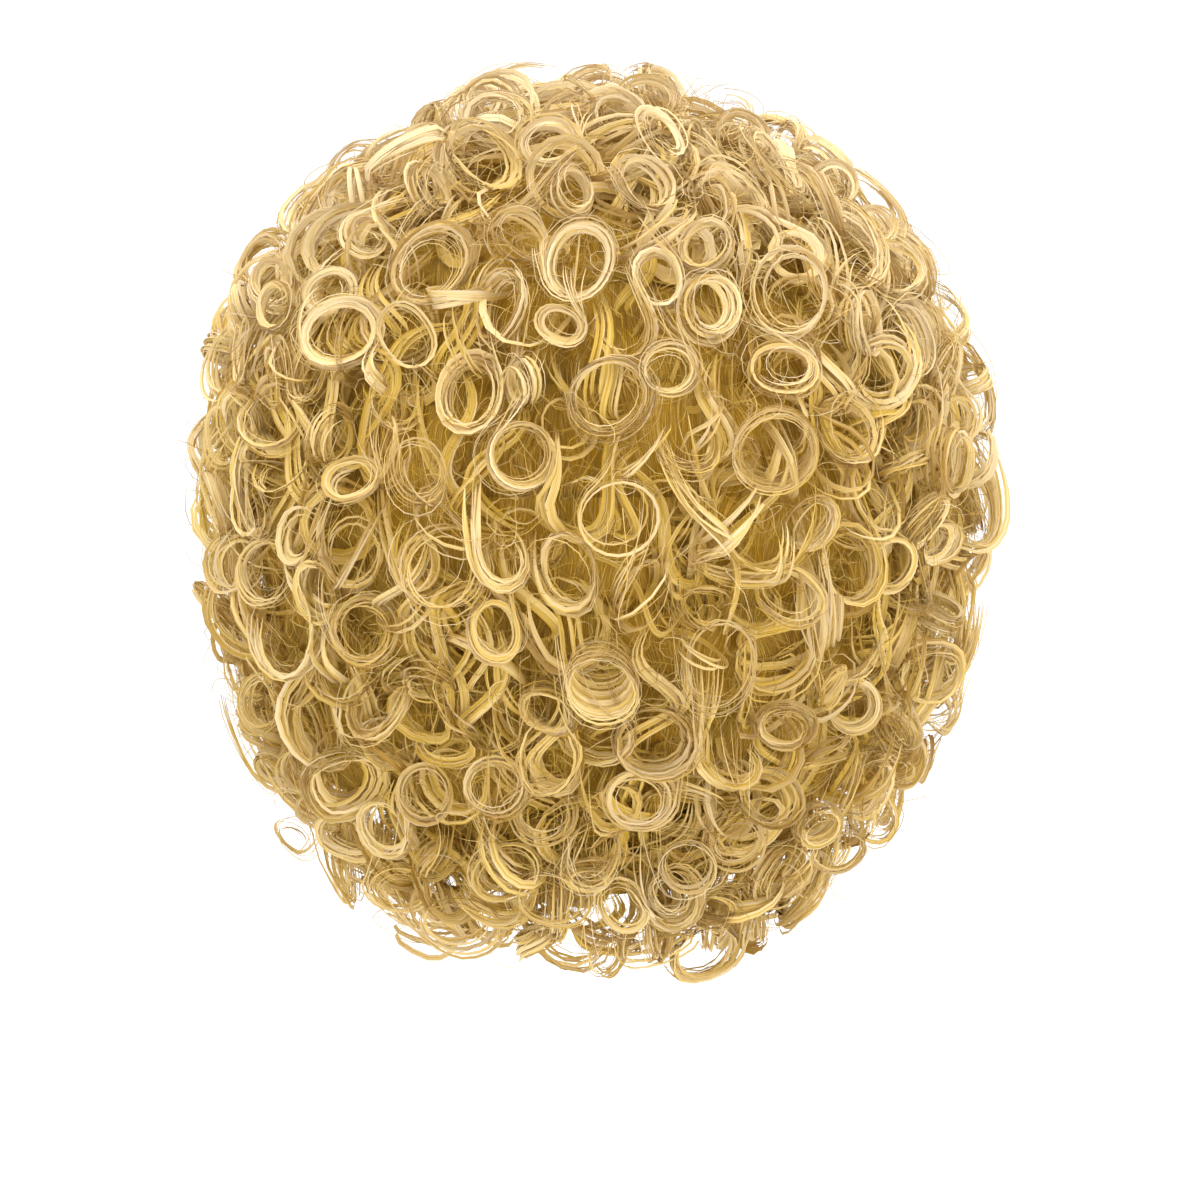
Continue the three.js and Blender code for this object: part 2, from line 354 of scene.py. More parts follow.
# The bed of hair under the curls
BED_DEPTH = 20.0
BED_TURN_STEP = 3.0
BED_CLEAR = 2.6
BED_SWELL = 2.2
BED_DRAW_FALL = 138.0
BED_DRAW = 0.2
BED_END_STEPS = 6
BED_END_START = 0.1
BED_INSIDE_ROWS = 3
BED_OUTSIDE_ROWS = 6
Ripple = namedtuple("Ripple", "turn fall start")
BED_RIPPLES = (Ripple(7.0, 5.0, 0.0), Ripple(4.1, -3.3, 2.0))

# The cap's net and its bound edge
CAP_TURN_STEP = 4.0
CAP_RINGS = 24
CAP_TOP = 0.004
BINDING_HEIGHT = 9.0
BINDING_THICKNESS = 2.8
BINDING_STEP = 36

# Shares of a piece's square picture: strips for the strands over the bed's, or the binding over the net's
BED_PICTURE = 0.08
STRANDS_FROM = 0.1
STRIP_COLUMNS = 4
STRIP_LENGTH = 0.98
STRIP_HEIGHT = 0.9
NET_PICTURE = 0.9
BINDING_PICTURE = 0.1

# Lamps, in metres and watts, and the spot that they face
Lamp = namedtuple("Lamp", "name spot size power")
LAMPS = (
    Lamp("key", (0.6, 1.6, 1.4), 0.7, 8.0),
    Lamp("top", (0.1, 0.4, 1.6), 1.0, 18.0),
    Lamp("fill", (-1.2, 1.2, -0.1), 1.0, 6.5),
)
LAMPS_FACE = (0.0, 0.0, -0.09)
WORLD_STRENGTH = 1.19

rng = np.random.default_rng(SEED)


def unit(vectors):
    """The vectors at length 1, along their last axis."""
    return vectors / np.maximum(np.linalg.norm(vectors, axis=-1, keepdims=True), TINY)


def reach(table, fall, turn):
    """Reach of a table of sections: its back or front column, eased into its side column."""
    falls = [row.fall for row in table]
    side = np.interp(fall, falls, [row.side for row in table])
    back = np.interp(fall, falls, [row.back for row in table])
    front = np.interp(fall, falls, [row.front for row in table])
    facing = np.cos(np.radians(turn))
    end = np.where(facing > 0, back, front)
    return side + (end - side) * facing**2


def direction(fall, turn):
    f, t = np.radians(fall), np.radians(turn)
    return np.stack([np.sin(f) * np.sin(t), np.sin(f) * np.cos(t), np.cos(f) * np.ones_like(t)], axis=-1)


def place(fall, turn, distance):
    return HUB + direction(fall, turn) * np.asarray(distance)[..., None]


def polar(points):
    """The fall, turn and reach of points."""
    arm = points - HUB
    distance = np.maximum(np.linalg.norm(arm, axis=-1), TINY)
    fall = np.degrees(np.arccos(np.clip(arm[..., 2] / distance, -1, 1)))
    turn = np.degrees(np.arctan2(arm[..., 0], arm[..., 1]))
    return fall, turn, distance


def depth_of(points):
    """How far points lie under the outside of the hair."""
    fall, turn, distance = polar(points)
    return reach(OUTSIDE, fall, turn) - distance


def reined(points):
    """The points, with what stands out past the slack drawn in."""
    over = np.maximum(-depth_of(points) - SLACK, 0)
    return points - unit(points - HUB) * (over * (1 - SLACK_KEPT))[..., None]


def rows_of(fall):
    """The wefts that places on the hair belong to, by their fall."""
    return np.minimum(np.searchsorted(HANGS, fall), len(WEFTS) - 1)


def span_at(fall):
    """The turn to either side of the back that the hair covers at a fall."""
    return SPANS[rows_of(fall)]


def clear_span(fall):
    """The turn to either side of the back that strands keep to, short of the ends of a shorter weft."""
    span = span_at(fall)
    return np.where(span < WHOLE_SPAN, span - EDGE_TURN, WHOLE_SPAN + 1)


def down_from(fall, turn):
    """The way down over the hair at a place."""
    return unit(direction(fall + DOWN_STEP, turn) - direction(fall, turn))


def random_places(count, highest=0.0):
    """Places all over the hair below the highest, as their fall and turn."""
    ends = np.cos(np.radians([LOWEST_FALL, highest]))
    fall = np.degrees(np.arccos(rng.uniform(*ends, count * TRIES_PER_PLACE)))
    turn = rng.uniform(-180, 180, count * TRIES_PER_PLACE)
    inside = np.abs(turn) < clear_span(fall)
    return fall[inside][:count], turn[inside][:count]


def taper(steps, foot):
    """Share of the full width along a strand, from its foot to its thin tip."""
    t = np.linspace(0, 1, steps)
    swell = foot + (1 - foot) * np.clip(t / FOOT_END, 0, 1)
    thinned = np.clip((t - TIP_START) / (1 - TIP_START), 0, 1) ** TIP_CURVE
    return swell * (1 - (1 - TIP_SHARE) * thinned)


class Strands:
    """The strands of one weft, kept as tubes of corners until a mesh is made of them."""

    def __init__(self):
        self.tubes = []

    def bands(self, points, wide, width, tone):
        """Flat bands: points and the way of their width (band, step, xyz), their width, and their tone with
        painted light and shade (band).
        """
        size = width[:, None] * taper(points.shape[1], BAND_FOOT) / 2
        self.add(points, wide, size, size * BAND_THICKNESS, tone, FLAT)

    def hairs(self, points, radius, tone):
        """Single hairs: points (hair, step, xyz), their radius, and their tone with painted light and shade
        (hair).
        """
        size = radius[:, None] * taper(points.shape[1], HAIR_FOOT)
        wide = np.broadcast_to(unit(rng.normal(0, 1, (len(points), 1, 3))), points.shape)
        self.add(points, wide, size, size, tone, ROUND)

    def add(self, points, wide, half_width, half_thickness, tone, profile):
        points = reined(points)
        along = unit(np.gradient(points, axis=1))
        wide = unit(wide - along * np.sum(wide * along, axis=-1, keepdims=True))
        thick = np.cross(along, wide)
        angle = np.radians(profile.angles)
        out = np.cos(angle)[:, None] * (wide * half_width[..., None])[:, :, None]
        up = np.sin(angle)[:, None] * (thick * half_thickness[..., None])[:, :, None]
        corners = points[:, :, None] + out + up
        stretches = np.linalg.norm(np.diff(points, axis=1, prepend=points[:, :1]), axis=-1)
        length = np.cumsum(stretches, axis=1)
        lay = np.empty(corners.shape)
        lay[..., 0] = np.cos(angle) * half_width[..., None]
        lay[..., 1] = length[..., None]
        lay[..., 2] = rng.uniform(0, STREAK_STARTS, (len(points), 1, 1))
        rib = np.broadcast_to(np.array(profile.ribs), corners.shape[:3])
        self.tubes.append((corners, lay, np.broadcast_to(tone, points.shape[:1]), rib))


def bezier(start, pull, push, end, steps):
    """Points on curves from start to end, without the end itself."""
    t = np.linspace(0, 1, steps, endpoint=False)[None, :, None]
    a, b, c, d = (p[:, None, :] for p in (start, pull, push, end))
    return (1 - t) ** 3 * a + 3 * t * (1 - t) ** 2 * b + 3 * t**2 * (1 - t) * c + t**3 * d


Curl = namedtuple("Curl", "centre axis radius turns rise bands hairs width steps tone")


def curl_paths(curl, shape, count, spread, steps_per_turn):
    """Paths of strands that come from a root and wind round the curl, and the way their flat side lies."""
    fall, turn, _ = polar(curl.centre)
    outward = unit(curl.centre - HUB)
    down = down_from(fall, turn)
    up_start = unit(-down - curl.axis * np.dot(-down, curl.axis) + NUDGE)
    side_start = np.cross(curl.axis, up_start)

    room = spread * (BUNDLE_SHARE * curl.radius + BUNDLE_LEAST)
    across = rng.uniform(-1, 1, count) * room * BUNDLE_ACROSS
    along = rng.uniform(-1, 1, count) * room * BUNDLE_ALONG
    turns = curl.turns * rng.uniform(*TURNS_KEPT, count)
    start = shape["start"] + rng.normal(0, START_STRAY * spread, count)
    steps = max(int(round(steps_per_turn * curl.turns)), LEAST_STEPS) + 1
    t = np.linspace(0, 1, steps)[None, :]
    angle = start[:, None] + shape["hand"] * 2 * np.pi * turns[:, None] * t
    oval = 1 + shape["oval"] * np.cos(2 * (angle - shape["oval_turn"]))
    radius = (curl.radius + across[:, None]) * (1 - shape["shrink"] * t**SHRINK_CURVE) * oval
    mess = spread * min(1.0, MESSY_TURNS / curl.turns)
    tilt = rng.normal(0, CURL_TILT * mess, (count, 1))
    tilt_turn = rng.uniform(0, 2 * np.pi, (count, 1))
    risen = shape["sense"] * curl.rise * turns[:, None] * (t - 0.5)
    height = along[:, None] + risen + tilt * np.cos(angle - tilt_turn) * curl.radius
    radial = np.cos(angle)[..., None] * up_start + np.sin(angle)[..., None] * side_start
    wound = curl.centre + radial * radius[..., None] + height[..., None] * curl.axis
    stray = rng.normal(0, CURL_STRAY * mess, (count, 1, 3))
    wound = wound + (t[..., None] * shape["drift"] + stray) * curl.radius

    heading = unit(wound[:, 1] - wound[:, 0])
    away = heading * shape["aside"] + down * ROOT_ABOVE
    root = wound[:, 0] - away * shape["back"] - outward * shape["sunk"]
    roots = root + rng.normal(0, ROOT_STRAY * spread, (count, 3))
    pull = roots + outward * shape["sunk"] * ROOT_LIFT + down * shape["back"] * ROOT_DROP
    push = wound[:, 0] - heading * shape["back"] * ROOT_PUSH
    points = np.concatenate([bezier(roots, pull, push, wound[:, 0], ROOT_STEPS), wound], axis=1)
    flat = shape["flat"] + rng.normal(0, FLAT_STRAY, (count, 1, 1))
    wide = curl.axis * np.cos(flat) + radial * np.sin(flat)
    wide = np.concatenate([np.repeat(wide[:, :1], ROOT_STEPS, axis=1), wide], axis=1)
    return points, wide


def add_curl(rows, curl):
    """A curl of bands and hairs on its weft."""
    hand = rng.choice([-1.0, 1.0])
    shape = {
        "hand": hand,
        "start": hand * math.radians(rng.uniform(*START_ANGLE)),
        "sense": rng.choice([-1.0, 1.0]),
        "shrink": rng.uniform(*SHRINK) * min(curl.turns, MOST_SHRUNK_TURNS),
        "oval": rng.uniform(0.0, MOST_OVAL),
        "oval_turn": rng.uniform(0, math.pi),
        "drift": rng.normal(0, DRIFT, 3),
        "flat": math.radians(rng.uniform(*FLAT_ANGLE)),
        "back": rng.uniform(*ROOT_BACK),
        "sunk": rng.uniform(*ROOT_SUNK),
        "aside": rng.uniform(*ROOT_ASIDE),
    }
    fall = polar(curl.centre)[0]
    row = rows[int(rows_of(fall))]
    # painted light: paler towards the crown
    tone = rng.normal(curl.tone, CURL_TONE_STRAY) + CROWN_PAINTED_LIGHT * max(math.cos(math.radians(fall)), 0)
    points, wide = curl_paths(curl, shape, curl.bands, 1.0, curl.steps)
    least, most = curl.width
    width = least + (most - least) * rng.random(curl.bands) ** WIDTH_BIAS
    row.bands(points, wide, width, np.clip(tone + rng.normal(0, BAND_TONE_STRAY, curl.bands), 0, 1))
    if curl.hairs:
        points, _ = curl_paths(curl, shape, curl.hairs, HAIRS_SPREAD, HAIR_STEPS)
        radius = HAIR_RADIUS * rng.uniform(*HAIR_SIZES, curl.hairs)
        row.hairs(points, radius, np.clip(tone + rng.normal(0, HAIR_TONE_STRAY, curl.hairs), 0, 1))


def camera_axes():
    """The camera's place, the line it looks along, and the directions to its right and up."""
    rise = math.radians(CAMERA_RISE)
    middle = FRAME_PIXELS / 2
    target = np.array([-(middle - CENTRE_COLUMN) * PIXEL, 0.0, -(middle - CROWN_ROW) * PIXEL])
    back = np.array([0.0, math.cos(rise), math.sin(rise)])
    right = np.array([-1.0, 0.0, 0.0])
    return target + back * CAMERA_DISTANCE, -back, right, np.cross(right, -back)


def on_hair(x, y, depth):
    """The point of the hair, depth under its outside, that shows at a pixel of the photograph."""
    eye, ahead, right, up = camera_axes()
    middle = FRAME_PIXELS / 2
    slope = PIXEL / CAMERA_DISTANCE
    line = ahead + right * (x - middle) * slope + up * (middle - y) * slope
    far = np.linspace(CAMERA_DISTANCE - SIGHT_BEFORE, CAMERA_DISTANCE + SIGHT_BEYOND, SIGHT_STEPS)
    points = eye + far[:, None] * line
    under = depth_of(points) - depth
    inside = np.nonzero(under > 0)[0]
    return points[inside[0]] if len(inside) else points[np.argmax(under)]


def charted_curls(rows):
    """The curls that the photograph shows, at their places. Gives their middles and the room they take."""
    _, ahead, right, up = camera_axes()
    centres, rooms = [], []
    for chart in CHARTED:
        centre = on_hair(chart.x, chart.y, CHART_DEPTH)
        axis = unit(-ahead + right * chart.right + up * chart.up)
        radius = chart.across * PIXEL / 2 * CHART_SHARE
        rise = CHART_RISE + CHART_RISE_GAIN * chart.turns
        size = (radius, chart.turns, rise, chart.bands, CHART_HAIRS, CHART_WIDTH, CHART_STEPS)
        add_curl(rows, Curl(centre, axis, *size, CHART_TONE))
        centres.append(centre)
        rooms.append(max(chart.across * PIXEL / 2, CURL_SPREAD.room))
    return np.array(centres), np.array(rooms)


def spread_evenly(spread, taken, rooms):
    """Places at random depths all over the hair, each with room about it, clear of those already taken."""
    fall, turn = random_places(spread.tries, spread.highest)
    found = []
    for centre in place(fall, turn, reach(OUTSIDE, fall, turn) - rng.uniform(*spread.depth, len(fall))):
        if len(taken) and np.min(np.linalg.norm(taken - centre, axis=1) - rooms) < spread.room:
            continue
        taken = np.vstack([taken.reshape(-1, 3), centre])
        rooms = np.append(rooms, spread.room)
        found.append(centre)
    return found


def scattered_curls(rows, spread, taken, rooms):
    """Curls over the rest of the wig: whole ones and shorter bends."""
    for centre in spread_evenly(spread, taken, rooms):
        axis = unit(unit(centre - HUB) * CURL_LEVEL + rng.normal(0, CURL_LEAN, 3))
        arc = rng.random() < ARC_SHARE
        radius = rng.uniform(*(ARC_RADIUS if arc else CURL_RADIUS))
        turns = rng.uniform(*(ARC_TURNS if arc else CURL_TURNS))
        bands = int(rng.integers(*(ARC_BANDS if arc else CURL_BANDS), endpoint=True))
        rise = rng.uniform(*CURL_RISE)
        size = (radius, turns, rise, bands, CURL_HAIRS, BAND_WIDTH, STEPS_PER_TURN)
        add_curl(rows, Curl(centre, axis, *size, CURL_TONE))


def edge_curls(rows):
    """Curls on the ends of the wefts that stop short of the front."""
    for above, weft in zip(WEFTS, WEFTS[1:]):
        if weft.span == WHOLE_SPAN:
            continue
        for side in np.repeat([-1, 1], EDGE_CURLS):
            fall = rng.uniform(above.hangs, weft.hangs)
            turn = side * (weft.span - rng.uniform(*EDGE_BACK))
            centre = place(fall, turn, reach(OUTSIDE, fall, turn) - rng.uniform(*EDGE_DEPTH))
            forward = unit(direction(fall, turn + side) - direction(fall, turn))
            axis = unit(forward + rng.normal(0, EDGE_LEAN, 3))
            radius = rng.uniform(*CURL_RADIUS)
            turns = rng.uniform(*UNDER_TURNS)
            size = (radius, turns, EDGE_RISE, EDGE_BANDS, 0, BAND_WIDTH, STEPS_PER_TURN)
            add_curl(rows, Curl(centre, axis, *size, CURL_TONE))


def under_curls(rows):
    """Wide bands that bend round under the curls and cover the bed."""
    for centre in spread_evenly(UNDER_SPREAD, np.empty((0, 3)), np.empty(0)):
        axis = unit(unit(centre - HUB) + rng.normal(0, UNDER_LEAN, 3))
        radius = rng.uniform(*UNDER_RADIUS)
        turns = rng.uniform(*UNDER_TURNS)
        size = (radius, turns, UNDER_RISE, UNDER_BANDS, 0, UNDER_WIDTH, UNDER_STEPS)
        add_curl(rows, Curl(centre, axis, *size, UNDER_TONE))


def waves(rows):
    """Locks that run down over the bed in waves and end in a hook, where there is hair below them."""
    for fall, turn in zip(*random_places(WAVES)):
        start = place(fall, turn, reach(OUTSIDE, fall, turn))
        outward = unit(start - HUB)
        down = down_from(fall, turn)
        heading = unit(down + rng.normal(0, WAVE_LEAN) * np.cross(outward, down))
        aside = np.cross(outward, heading)
        length = rng.uniform(*WAVE_LENGTH)
        bend = rng.uniform(*WAVE_BEND) * rng.choice([-1, 1])
        period = rng.uniform(*WAVE_PERIOD)
        t = np.linspace(0, 1, WAVE_STEPS)
        hook = np.clip((t - HOOK_START) / (1 - HOOK_START), 0, 1)
        sway = bend * np.sin(2 * np.pi * t * length / period) + bend * HOOK_ASIDE * hook**2
        run = length * (t - HOOK_BACK * hook**2)
        rounded = run**2 / (2 * WAVE_ROUND)
        under = rng.uniform(*WAVE_DEPTH) - WAVE_ARCH * np.sin(np.pi * t) + HOOK_SUNK * hook + rounded
        path = start + run[:, None] * heading + sway[:, None] * aside - under[:, None] * outward
        end_fall, end_turn, _ = polar(path[-1])
        if abs(end_turn) > clear_span(end_fall):
            continue
        spread = rng.normal(0, 1, (WAVE_BANDS, 1, 1)) * aside * WAVE_ASIDE
        spread = spread + rng.normal(0, WAVE_STRAY, (WAVE_BANDS, 1, 3))
        points = path[None] + spread * (WAVE_FOOT + WAVE_FAN * t[None, :, None])
        level = unit(np.cross(outward, np.gradient(path, axis=0)))
        wide = np.broadcast_to(level + outward * rng.normal(0, WAVE_TILT), points.shape)
        tone = np.clip(rng.normal(*WAVE_TONE) + rng.normal(0, WAVE_TONE_STRAY, WAVE_BANDS), 0, 1)
        row = rows[int(rows_of(polar(path[WAVE_STEPS // 2])[0]))]
        row.bands(points, wide, rng.uniform(*WAVE_WIDTH, WAVE_BANDS), tone)


def inner_locks(rows):
    """Flat locks that hang down inside the bed, below the cap's edge."""
    for turn in rng.uniform(-INNER_SPAN, INNER_SPAN, INNER_LOCKS):
        lowest = HANGS[SPANS >= abs(turn)].max()
        fall = np.linspace(rim_at(turn) - INNER_OVERLAP, lowest + rng.uniform(*INNER_END), INNER_STEPS)
        sway = rng.uniform(*INNER_SWAY)
        sway = sway * np.sin(np.radians(fall * rng.uniform(*INNER_RATE) + rng.uniform(0, 360)))
        around = np.clip(turn + sway, EDGE_TURN - INNER_SPAN, INNER_SPAN - EDGE_TURN)
        path = place(fall, around, reach(INSIDE, fall, around) + CAP_WALL + rng.uniform(*INNER_CLEAR))
        aside = unit(np.cross(path - HUB, down_from(fall, around)))
        tone = np.array([np.clip(rng.normal(*INNER_TONE), 0, 1)])
        row = rows[int(rows_of(fall[INNER_STEPS // 2]))]
        row.bands(path[None], aside[None], rng.uniform(*INNER_WIDTH, 1), tone)


def loose_hairs(rows, loose):
    """Single hairs that bend at random from a start under or over the outside of the hair."""
    fall, turn = random_places(loose.count)
    count = len(fall)
    start = place(fall, turn, reach(OUTSIDE, fall, turn) - rng.uniform(*loose.depth, count))
    outward = unit(start - HUB)
    spin = rng.uniform(0, 2 * np.pi, count)
    across = unit(np.cross(outward, [0.0, 0.0, 1.0]) + NUDGE)
    ahead = np.cos(spin)[:, None] * across + np.sin(spin)[:, None] * np.cross(outward, across)
    ahead = unit(ahead + outward * rng.uniform(*LOOSE_LIFT, count)[:, None])
    bend_axis = unit(outward + rng.normal(0, LOOSE_LEAN, (count, 3)))
    step = rng.uniform(*loose.length, count) / (loose.steps - 1)
    angle = rng.uniform(*loose.bend, count) * rng.choice([-1, 1], count) / (loose.steps - 1)
    points = np.empty((count, loose.steps, 3))
    points[:, 0] = start
    for i in range(1, loose.steps):
        points[:, i] = points[:, i - 1] + ahead * step[:, None]
        turned = ahead * np.cos(angle)[:, None] + np.cross(bend_axis, ahead) * np.sin(angle)[:, None]
        ahead = unit(turned - outward * LOOSE_SINK + rng.normal(0, LOOSE_STRAY, (count, 3)))
    radius = loose.radius * rng.uniform(*LOOSE_SIZES, count)
    # painted light: paler towards the crown
    tone = rng.uniform(*loose.tone, count) + CROWN_PAINTED_LIGHT * np.maximum(np.cos(np.radians(fall)), 0)
    number = rows_of(fall)
    for row in np.unique(number):
        own = number == row
        rows[row].hairs(points[own], radius[own], tone[own])


Block = namedtuple("Block", "corners faces spots lay tone rib slot")


def tube_blocks(corners, lay, tone, rib, first, total):
    """The sides and the closed ends of tubes, each with its own strip of the picture of all of them."""
    count, steps, sides = corners.shape[:3]
    number = np.arange(count * steps * sides).reshape(count, steps, sides)
    beside = np.roll(number, -1, axis=2)
    quads = np.stack([number[:, :-1], beside[:, :-1], beside[:, 1:], number[:, 1:]], axis=-1)
    ends = np.concatenate([number[:, 0, ::-1], number[:, -1]])

    lines = math.ceil(total / STRIP_COLUMNS)
    strip = first + np.arange(count)
    left = (strip % STRIP_COLUMNS)[:, None, None] / STRIP_COLUMNS
    foot = (strip // STRIP_COLUMNS)[:, None, None] / lines
    u = left + np.linspace(0, STRIP_LENGTH / STRIP_COLUMNS, steps)[None, :, None]
    v = foot + np.linspace(0, STRIP_HEIGHT / lines, sides + 1)[None, None, :]
    grid = np.stack(np.broadcast_arrays(u, v), axis=-1) * [1.0, 1 - STRANDS_FROM] + [0.0, STRANDS_FROM]
    around = np.stack([grid[:, :-1, :-1], grid[:, :-1, 1:], grid[:, 1:, 1:], grid[:, 1:, :-1]], axis=3)
    caps = np.concatenate([grid[:, 0, sides - 1 :: -1], grid[:, -1, :sides]])

    flat = corners.reshape(-1, 3)
    shade = np.repeat(tone, steps * sides)
    none = np.empty((0, 3))
    return (
        Block(flat, quads.reshape(-1, 4), around.reshape(-1, 2), lay.reshape(-1, 3), shade, rib.ravel(), 0),
        Block(none, ends - len(flat), caps.reshape(-1, 2), none, np.empty(0), np.empty(0), 0),
    )


def closed_loft(rings, whole, slot, picture):
    """A closed skin through rings of corners (step, corner, xyz), all the way round or with two ends. Its
    picture has a corner and a size in the square."""
    steps, around = rings.shape[:2]
    number = np.arange(steps * around).reshape(steps, around)
    after = np.roll(number, -1, axis=0) if whole else number[1:]
    number = number if whole else number[:-1]
    faces = np.stack([number, after, np.roll(after, -1, axis=1), np.roll(number, -1, axis=1)], axis=-1)
    u = np.arange(len(number) + 1) / len(number)
    v = np.arange(around + 1) / around
    grid = np.stack(np.meshgrid(u, v, indexing="ij"), axis=-1) * picture[1] + picture[0]
    spots = np.stack([grid[:-1, :-1], grid[1:, :-1], grid[1:, 1:], grid[:-1, 1:]], axis=2)
    corners = rings.reshape(-1, 3)
    plain = np.zeros(len(corners))
    return Block(corners, faces.reshape(-1, 4), spots.reshape(-1, 2), corners, plain, plain, slot)


def new_piece(name, blocks, materials, replaced):
    """One object of blocks of faces, which takes the place of a part of the frame."""
    first = np.concatenate([[0], np.cumsum([len(block.corners) for block in blocks])[:-1]])
    faces = [block.faces + start for block, start in zip(blocks, first)]
    corners = np.concatenate([block.corners for block in blocks])
    loops = np.concatenate([face.ravel() for face in faces])
    sizes = np.concatenate([np.full(len(face), face.shape[1]) for face in faces])
    starts = np.cumsum(sizes) - sizes
    chosen = np.concatenate([np.full(len(block.faces), block.slot) for block in blocks])
    mesh = bpy.data.meshes.new(name)
    mesh.vertices.add(len(corners))
    mesh.vertices.foreach_set("co", (corners * MM).astype(np.float32).ravel())
    mesh.loops.add(len(loops))
    mesh.loops.foreach_set("vertex_index", loops.astype(np.int32))
    mesh.polygons.add(len(sizes))
    mesh.polygons.foreach_set("loop_start", starts.astype(np.int32))
    mesh.polygons.foreach_set("material_index", chosen.astype(np.int32))
    mesh.update(calc_edges=True)
    spots = np.concatenate([block.spots for block in blocks])
    mesh.uv_layers.new(name="OFBake").data.foreach_set("uv", spots.astype(np.float32).ravel())
    tone = np.concatenate([block.tone for block in blocks])
    mesh.attributes.new("tone", "FLOAT", "POINT").data.foreach_set("value", tone.astype(np.float32))
    depth = depth_of(corners).astype(np.float32)
    mesh.attributes.new("depth", "FLOAT", "POINT").data.foreach_set("value", depth)
    lay = np.concatenate([block.lay for block in blocks]).astype(np.float32)
    mesh.attributes.new("lay", "FLOAT_VECTOR", "POINT").data.foreach_set("vector", lay.ravel())
    mesh.shade_smooth()
    rib = np.concatenate([block.rib for block in blocks]).astype(np.int32)
    ends = np.empty(2 * len(mesh.edges), np.int32)
    mesh.edges.foreach_get("vertices", ends)
    from_rib, to_rib = rib[ends].reshape(-1, 2).T
    sharp = (from_rib == to_rib) & (from_rib > 0)
    mesh.attributes.new("sharp_edge", "BOOLEAN", "EDGE").data.foreach_set("value", sharp)
    for material in materials:
        mesh.materials.append(material)
    piece = bpy.data.objects.new(name, mesh)
    bpy.context.scene.collection.objects.link(piece)
    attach(piece, "root")
    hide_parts(replaced)


def bed(above, weft):
    """The bed of hair under a weft's curls."""
    whole = weft.span == WHOLE_SPAN
    turn = np.linspace(-weft.span, weft.span, int(2 * weft.span / BED_TURN_STEP), endpoint=not whole)
    hung, sewn = (above.hangs, above.sewn) if above else (CROWN_FALL, CROWN_FALL)
    inside = []
    for fall in np.linspace(sewn, weft.sewn, BED_INSIDE_ROWS):
        inside.append(place(fall, turn, reach(INSIDE, fall, turn) + CAP_WALL + BED_CLEAR))
    outside = []
    for fall in np.linspace(weft.hangs, hung, BED_OUTSIDE_ROWS):
        ripples = [np.sin(turn / wave.turn + fall / wave.fall + wave.start) for wave in BED_RIPPLES]
        swell = BED_SWELL * sum(ripples) / len(ripples)
        drawn_in = BED_DEPTH + BED_DRAW * max(fall - BED_DRAW_FALL, 0)
        outside.append(place(fall, turn, reach(OUTSIDE, fall, turn) - drawn_in + swell))
    rings = np.stack(inside + outside, axis=1)
    if not whole:
        for step in range(BED_END_STEPS):
            share = math.sin(math.radians(90 * (step + BED_END_START) / BED_END_STEPS))
            for end in (step, -1 - step):
                rings[end] = rings[end] * share + rings[end].mean(axis=0) * (1 - share)
    block = closed_loft(rings, whole, 1, ((0.0, 0.0), (1.0, BED_PICTURE)))
    fall, around, distance = polar(block.corners)
    lay = np.stack([np.radians(around) * OUTSIDE[0].side, np.radians(fall) * distance, 0 * fall], axis=-1)
    return block._replace(lay=lay)


def make_hair():
    rows = [Strands() for _ in WEFTS]
    scattered_curls(rows, CURL_SPREAD, *charted_curls(rows))
    scattered_curls(rows, NAPE_SPREAD, np.empty((0, 3)), np.empty(0))
    edge_curls(rows)
    under_curls(rows)
    waves(rows)
    inner_locks(rows)
    loose_hairs(rows, FRIZZ)
    loose_hairs(rows, FLYAWAYS)
    materials = (strand_material(), bed_material())
    for index, weft in enumerate(WEFTS):
        blocks = [bed(WEFTS[index - 1] if index else None, weft)]
        tubes = rows[index].tubes
        total = sum(len(corners) for corners, _, _, _ in tubes)
        done = 0
        for corners, lay, tone, rib in tubes:
            blocks += tube_blocks(corners, lay, tone, rib, done, total)
            done += len(corners)
        new_piece("hair_" + weft.node, blocks, materials, weft.node)


def rim_at(turn):
    """The fall of the cap's edge, eased over the corners of its table."""
    around = np.asarray(turn)[..., None] + RIM_EASE
    around = np.abs((around + 180) % 360 - 180)
    return np.interp(around, [rim.turn for rim in CAP_RIM], [rim.fall for rim in CAP_RIM]).mean(axis=-1)


def make_cap():
    """The net cap with the bound edge round its opening."""
    turn = np.arange(-180, 180, CAP_TURN_STEP)
    rim = rim_at(turn)
    share = np.linspace(CAP_TOP, 1, CAP_RINGS)
    outside = [place(rim * s, turn, reach(INSIDE, rim * s, turn) + CAP_WALL) for s in share]
    inside = [place(rim * s, turn, reach(INSIDE, rim * s, turn)) for s in share[::-1]]
    net = closed_loft(np.stack(outside + inside, axis=1), True, 0, ((0.0, 0.0), (1.0, NET_PICTURE)))
    fall, around, _ = polar(net.corners)
    arc = np.radians(fall) * INSIDE[0].side
    spun = np.radians(around)
    lay = np.stack([arc * np.sin(spun), arc * np.cos(spun), np.zeros_like(arc)], axis=-1)
    net = net._replace(lay=lay)

    half = np.degrees(BINDING_HEIGHT / 2 / reach(INSIDE, rim, turn))
    section = np.radians(np.arange(0, 360, BINDING_STEP))
    edge = []
    for angle in section:
        own_fall = rim - half + half * np.cos(angle)
        off = CAP_WALL / 2 + BINDING_THICKNESS / 2 * np.sin(angle)
        edge.append(place(own_fall, turn, reach(INSIDE, own_fall, turn) + off))
    own_picture = ((0.0, NET_PICTURE), (1.0, BINDING_PICTURE))
    band = closed_loft(np.stack(edge, axis=1), True, 1, own_picture)
    new_piece("cap_net", [net, band], (net_material(), edge_material()), "cap")


def node(tree, kind, x, y, **values):
    made = tree.nodes.new(kind)
    made.location = (x, y)
    for name, value in values.items():
        setattr(made, name, value)
    return made


